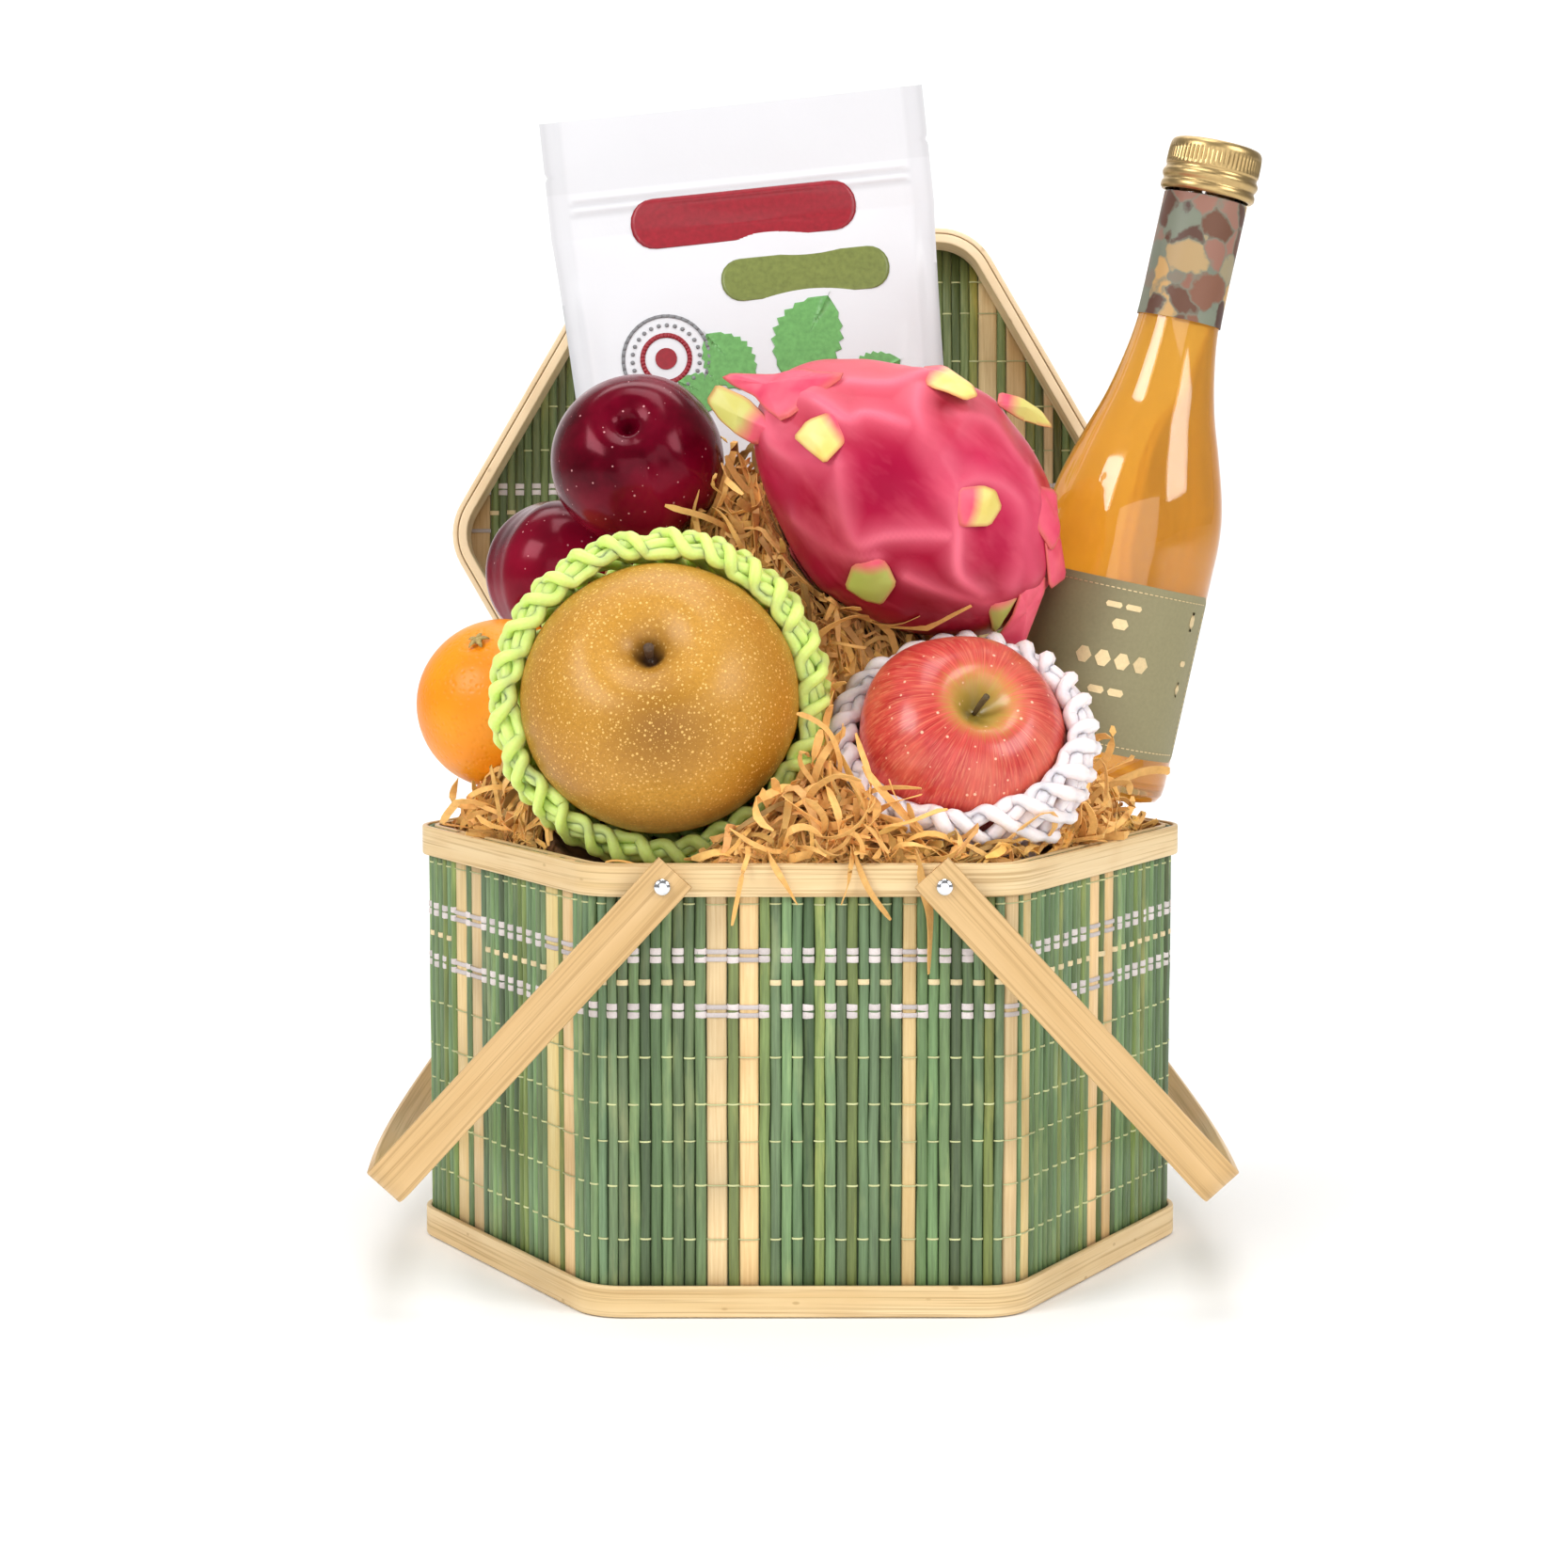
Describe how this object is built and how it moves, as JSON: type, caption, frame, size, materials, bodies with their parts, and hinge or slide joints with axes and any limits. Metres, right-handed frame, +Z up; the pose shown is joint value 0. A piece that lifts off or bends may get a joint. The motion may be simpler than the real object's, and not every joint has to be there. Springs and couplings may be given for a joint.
{
  "type": "fruit hamper",
  "caption": "Six-sided slatted bamboo hamper with an open lid and two swing handles, filled with fruit in foam nets, a pouch and a bottle on wood-wool shreds.",
  "frame": {"origin": "centre of the basket's underside, on the surface it stands on", "axes": "+Z up, +Y to the back where the lid is hinged, +X to the right seen from the front"},
  "size_m": [0.3428, 0.3595, 0.4613],
  "materials": {
    "green_slats": "split bamboo slats dyed green, with pale strips and stitched threads, satin",
    "bamboo": "pale split bamboo with fine grain, satin",
    "board": "thin pale plywood, matte",
    "chrome": "polished domed rivet",
    "brass": "brushed brass",
    "pear_skin": "golden brown skin with pale lenticels, soft sheen",
    "apple_skin": "red and pink streaked skin over yellow, waxy gloss",
    "plum_skin": "deep red purple skin with bloom and pale specks, gloss",
    "orange_skin": "pored orange peel, soft gloss",
    "dragon_skin": "pink skin with green and yellow scale tips, satin",
    "stem": "dry stem, matte",
    "green_foam": "soft foam netting, matte",
    "pink_foam": "soft foam netting, matte",
    "clear_glass": "clear bottle glass",
    "amber_drink": "clear amber drink",
    "gold_cap": "gold anodised screw cap, satin",
    "label_paper": "matte olive paper with a gold line border",
    "neck_paper": "matte paper with a leaf pattern",
    "pouch_film": "white laminated film with soft creases, gloss",
    "wood_wool": "curled tan shreds, matte"
  },
  "bodies": {
    "basket": {"slat_wall": "green_slats", "rim_band": "bamboo", "rim_band_inner": "bamboo", "base_band": "bamboo", "base_board": "board", "rivet_front_left": "chrome", "rivet_front_right": "chrome", "rivet_back_left": "chrome", "rivet_back_right": "chrome", "spacer_front_left": "bamboo", "spacer_front_right": "bamboo", "spacer_back_left": "bamboo", "spacer_back_right": "bamboo", "hinge_leaf_left": "brass", "hinge_leaf_right": "brass", "hinge_pin_left": "brass", "hinge_pin_right": "brass", "pear": "pear_skin", "pear_stem": "stem", "pear_net": "green_foam", "apple": "apple_skin", "apple_stem": "stem", "apple_net": "pink_foam", "plum_1": "plum_skin", "plum_2": "plum_skin", "orange": "orange_skin", "orange_calyx": "stem", "dragon_fruit": "dragon_skin", "bottle_glass": "clear_glass", "bottle_drink": "amber_drink", "bottle_cap": "gold_cap", "bottle_label": "label_paper", "neck_label": "neck_paper", "pouch": "pouch_film", "shreds": "wood_wool"},
    "lid": {"lid_band": "bamboo", "lid_band_inner": "bamboo", "lid_panel": "green_slats", "lid_hinge_leaf_left": "brass", "lid_hinge_leaf_right": "brass"},
    "right_handle": {"handle_right": "bamboo"},
    "left_handle": {"handle_left": "bamboo"}
  },
  "joints": [
    {"name": "lid_hinge", "type": "hinge", "parent": "basket", "child": "lid", "pos_m": [0, 0.13895, 0.138], "axis": [1, 0, 0], "range_deg": [-84, 12]},
    {"name": "right_handle_pivot", "type": "hinge", "parent": "basket", "child": "right_handle", "pos_m": [0.0495, 0, 0.1567], "axis": [0, -1, 0], "range_deg": [0, 84]},
    {"name": "left_handle_pivot", "type": "hinge", "parent": "basket", "child": "left_handle", "pos_m": [-0.0495, 0, 0.1567], "axis": [0, 1, 0], "range_deg": [0, 108]}
  ]
}
